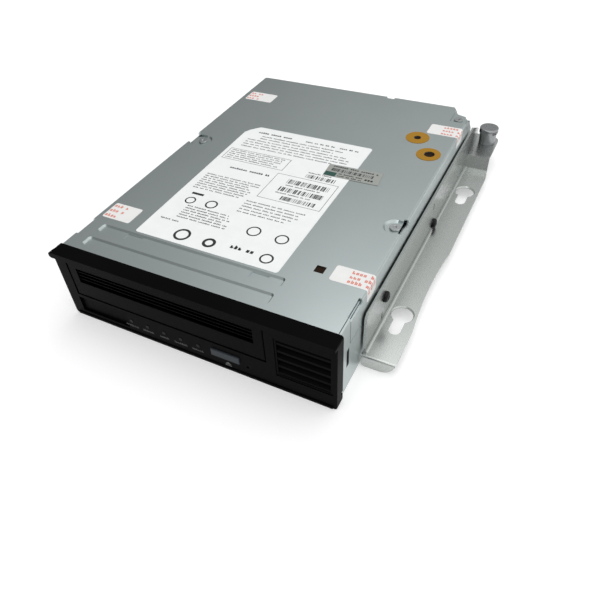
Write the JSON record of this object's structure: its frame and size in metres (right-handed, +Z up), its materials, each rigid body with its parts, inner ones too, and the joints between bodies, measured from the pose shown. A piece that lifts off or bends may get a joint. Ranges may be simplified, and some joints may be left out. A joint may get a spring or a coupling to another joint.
{
  "type": "data tape drive",
  "caption": "Half-height internal tape drive with a hinged cartridge door, loading tray, reels, threading arm, moving head and a side bracket with a captive screw.",
  "frame": {"origin": "centre of the four underside mounting holes, on the flat underside", "axes": "+X to the right seen from the bezel, towards the side bracket; +Y from the bezel to the rear connectors; +Z up from the underside to the cover"},
  "size_m": [0.1646, 0.2377, 0.0417],
  "materials": {
    "case_steel": "satin zinc-plated sheet",
    "bezel_plastic": "near-black, fine grain",
    "button_plastic": "pale blue-grey",
    "lamp_clear": "translucent",
    "bracket_steel": "bright-plated",
    "black_screw": "black oxide",
    "bright_steel": "plain",
    "amber_film": "amber film",
    "board_green": "satin",
    "component_black": "matte",
    "cast_deck": "as cast",
    "mech_plastic": "matte",
    "nylon_white": "matte",
    "motor_can": "plated",
    "ceramic_head": "lapped"
  },
  "bodies": {
    "chassis": {"base_frame": "case_steel", "top_cover": "case_steel", "cover_screws": "bright_steel", "inspection_seals": "amber_film", "rear_panel": "case_steel", "front_bezel": "bezel_plastic", "door_hinge_pin": "bright_steel", "door_spring": "bright_steel", "vent_grille": "bezel_plastic", "eject_switch": "component_black", "front_board": "board_green", "light_pipes": "lamp_clear", "mounting_bracket": "bracket_steel", "bracket_screws": "black_screw", "captive_bushing": "bright_steel", "deck_plate": "cast_deck", "deck_screws": "bright_steel", "main_board": "board_green", "board_chips": "component_black", "interface_connector": "component_black", "service_port": "nylon_white", "supply_stator": "motor_can", "takeup_stator": "motor_can", "guide_rail_left": "bright_steel", "guide_rail_right": "bright_steel", "load_gear_post": "bright_steel", "load_motor": "motor_can", "guide_posts": "bright_steel", "head_base": "cast_deck", "head_guide_rods": "bright_steel", "head_motor": "motor_can", "arm_post": "bright_steel", "thread_motor": "motor_can"},
    "door": {"cartridge_door": "bezel_plastic"},
    "eject_button": {"eject_button": "button_plastic"},
    "sled": {"tray_sled": "bright_steel"},
    "bars": {"lift_bars": "bright_steel"},
    "tray": {"cartridge_tray": "mech_plastic"},
    "load_gear": {"load_gear": "nylon_white"},
    "load_pinion": {"load_pinion": "nylon_white"},
    "supply": {"supply_clutch": "mech_plastic", "supply_rotor": "motor_can"},
    "takeup": {"takeup_reel": "mech_plastic", "takeup_rotor": "motor_can"},
    "roller_1": {"guide_roller_1": "mech_plastic"},
    "roller_2": {"guide_roller_2": "mech_plastic"},
    "roller_3": {"guide_roller_3": "mech_plastic"},
    "roller_4": {"guide_roller_4": "mech_plastic"},
    "head": {"head_carriage": "cast_deck", "tape_head": "ceramic_head"},
    "lead_screw": {"lead_screw": "bright_steel"},
    "threader": {"threading_arm": "bright_steel", "leader_grabber": "mech_plastic"},
    "thread_pinion": {"thread_pinion": "nylon_white"},
    "captive_collar": {"captive_clip": "bright_steel"},
    "captive_screw": {"captive_screw": "bright_steel"}
  },
  "joints": [
    {"name": "door_swing", "type": "hinge", "parent": "chassis", "child": "door", "pos_m": [-0.0133, -0.09033, 0.039], "axis": [1, 0, 0], "range_deg": [0, 90], "stiffness_Nm_per_rad": 0.002, "springref_deg": -17.19},
    {"name": "eject_press", "type": "slide", "parent": "chassis", "child": "eject_button", "axis": [0, 1, 0], "range_m": [0, 0.0008], "stiffness_N_per_m": 500, "springref_m": -0.0005},
    {"name": "sled_slide", "type": "slide", "parent": "chassis", "child": "sled", "axis": [0, 1, 0], "range_m": [0, 0.016]},
    {"name": "bars_slide", "type": "slide", "parent": "sled", "child": "bars", "axis": [0, 1, 0], "range_m": [0, 0.008]},
    {"name": "tray_drop", "type": "slide", "parent": "sled", "child": "tray", "axis": [0, 0, -1], "range_m": [0, 0.0024]},
    {"name": "load_gear_turn", "type": "hinge", "parent": "chassis", "child": "load_gear", "pos_m": [0.0493, -0.02303, 0.03], "axis": [0, 0, 1], "range_deg": [-200, 0]},
    {"name": "load_pinion_turn", "type": "hinge", "parent": "chassis", "child": "load_pinion", "pos_m": [0.05913, -0.02991, 0.032], "axis": [0, 0, 1], "range_deg": [0, 600]},
    {"name": "supply_spin", "type": "hinge", "parent": "chassis", "child": "supply", "pos_m": [-0.0133, -0.02803, 0.012], "axis": [0, 0, 1], "continuous": true},
    {"name": "takeup_spin", "type": "hinge", "parent": "chassis", "child": "takeup", "pos_m": [-0.026, 0.07097, 0.012], "axis": [0, 0, 1], "continuous": true},
    {"name": "roller_1_spin", "type": "hinge", "parent": "chassis", "child": "roller_1", "pos_m": [0.038, 0.03097, 0.023], "axis": [0, 0, 1], "continuous": true},
    {"name": "roller_2_spin", "type": "hinge", "parent": "chassis", "child": "roller_2", "pos_m": [0.0463, 0.03927, 0.023], "axis": [0, 0, 1], "continuous": true},
    {"name": "roller_3_spin", "type": "hinge", "parent": "chassis", "child": "roller_3", "pos_m": [0.0463, 0.07268, 0.023], "axis": [0, 0, 1], "continuous": true},
    {"name": "roller_4_spin", "type": "hinge", "parent": "chassis", "child": "roller_4", "pos_m": [0.0314, 0.08687, 0.023], "axis": [0, 0, 1], "continuous": true},
    {"name": "head_travel", "type": "slide", "parent": "chassis", "child": "head", "axis": [0, 0, 1], "range_m": [-0.0035, 0.0035]},
    {"name": "lead_screw_turn", "type": "hinge", "parent": "chassis", "child": "lead_screw", "pos_m": [0.033, 0.05597, 0.024], "axis": [0, 0, 1], "range_deg": [-640, 640]},
    {"name": "threader_swing", "type": "hinge", "parent": "chassis", "child": "threader", "pos_m": [0.015, 0.05597, 0.036], "axis": [0, 0, 1], "range_deg": [0, 215.1]},
    {"name": "thread_pinion_turn", "type": "hinge", "parent": "chassis", "child": "thread_pinion", "pos_m": [0.021, 0.04558, 0.0347], "axis": [0, 0, 1], "range_deg": [-432, 0]},
    {"name": "captive_lift", "type": "slide", "parent": "chassis", "child": "captive_collar", "axis": [0, 0, 1], "range_m": [0, 0.004]},
    {"name": "captive_turn", "type": "hinge", "parent": "captive_collar", "child": "captive_screw", "pos_m": [0.082, 0.13298, 0.02], "axis": [0, 0, 1], "continuous": true}
  ],
  "couplings": [
    {"joint": "tray_drop", "follows": "bars_slide", "ratio": 0.3},
    {"joint": "load_gear_turn", "follows": "sled_slide", "rad_per_m": -208.33},
    {"joint": "load_pinion_turn", "follows": "sled_slide", "rad_per_m": 625},
    {"joint": "lead_screw_turn", "follows": "head_travel", "rad_per_m": 3141.6},
    {"joint": "thread_pinion_turn", "follows": "threader_swing", "ratio": -2}
  ]
}
